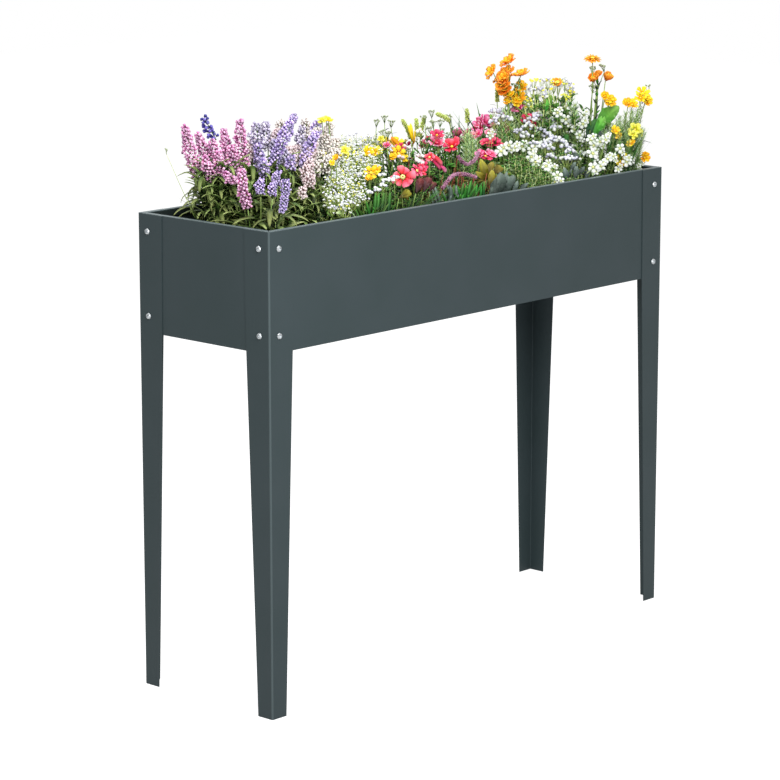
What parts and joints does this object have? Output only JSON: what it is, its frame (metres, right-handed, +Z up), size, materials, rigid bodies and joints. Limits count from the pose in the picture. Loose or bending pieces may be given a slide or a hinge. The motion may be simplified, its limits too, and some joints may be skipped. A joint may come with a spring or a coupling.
{
  "type": "planted raised bed",
  "caption": "Slim elevated planter box on tapered angle legs, filled with soil and a row of mixed flowering plants.",
  "frame": {"origin": "on the floor, under the middle of the box", "axes": "+Z up, X along the box, -Y towards the front long side, +X to the right when facing that side"},
  "size_m": [1.0066, 0.3066, 0.9868],
  "materials": {
    "powder_coat": "satin powder coat, fine texture",
    "zinc_plate": "bright zinc plated",
    "potting_soil": "damp peat and bark crumbs",
    "leaf_green": "leaves and stems, olive to mid green",
    "pink_flower": "mauve pink florets over olive leaves",
    "violet_flower": "violet florets over olive leaves",
    "cream_flower": "cream and lilac florets over grey-green leaves",
    "white_flower": "white petals with pale yellow eyes, fresh green leaves",
    "yellow_flower": "yellow petals, green stems and leaves",
    "coral_flower": "coral pink petals with yellow eyes, green leaves",
    "mauve_flower": "mauve catkins over grey-green leaves",
    "magenta_flower": "magenta petals, green stems and leaves",
    "orange_flower": "orange petals, thin green stems and leaves"
  },
  "bodies": {
    "root": {"front_panel": "powder_coat", "back_panel": "powder_coat", "left_panel": "powder_coat", "right_panel": "powder_coat", "floor_tray": "powder_coat", "leg_front_left": "powder_coat", "leg_front_right": "powder_coat", "leg_back_left": "powder_coat", "leg_back_right": "powder_coat", "screw_front_left_long_upper": "zinc_plate", "screw_front_left_long_lower": "zinc_plate", "screw_front_left_end_upper": "zinc_plate", "screw_front_left_end_lower": "zinc_plate", "screw_front_right_long_upper": "zinc_plate", "screw_front_right_long_lower": "zinc_plate", "screw_front_right_end_upper": "zinc_plate", "screw_front_right_end_lower": "zinc_plate", "screw_back_left_long_upper": "zinc_plate", "screw_back_left_long_lower": "zinc_plate", "screw_back_left_end_upper": "zinc_plate", "screw_back_left_end_lower": "zinc_plate", "screw_back_right_long_upper": "zinc_plate", "screw_back_right_long_lower": "zinc_plate", "screw_back_right_end_upper": "zinc_plate", "screw_back_right_end_lower": "zinc_plate", "nut_front_left_long_upper": "zinc_plate", "nut_front_left_long_lower": "zinc_plate", "nut_front_left_end_upper": "zinc_plate", "nut_front_left_end_lower": "zinc_plate", "nut_front_right_long_upper": "zinc_plate", "nut_front_right_long_lower": "zinc_plate", "nut_front_right_end_upper": "zinc_plate", "nut_front_right_end_lower": "zinc_plate", "nut_back_left_long_upper": "zinc_plate", "nut_back_left_long_lower": "zinc_plate", "nut_back_left_end_upper": "zinc_plate", "nut_back_left_end_lower": "zinc_plate", "nut_back_right_long_upper": "zinc_plate", "nut_back_right_long_lower": "zinc_plate", "nut_back_right_end_upper": "zinc_plate", "nut_back_right_end_lower": "zinc_plate", "soil": "potting_soil", "pink_lavender": "pink_flower", "violet_lavender": "violet_flower", "cream_lavender": "cream_flower", "strap_leaf_tuft": "leaf_green", "babys_breath": "white_flower", "yellow_yarrow": "yellow_flower", "blade_grass": "leaf_green", "yellow_marguerite": "yellow_flower", "coral_cosmos": "coral_flower", "green_sprigs": "leaf_green", "mauve_catkins": "mauve_flower", "magenta_phlox": "magenta_flower", "orange_ranunculus": "orange_flower", "white_phlox_left": "white_flower", "orange_daisy": "orange_flower", "white_phlox_right": "white_flower", "yellow_coreopsis": "yellow_flower"}
  },
  "joints": []
}
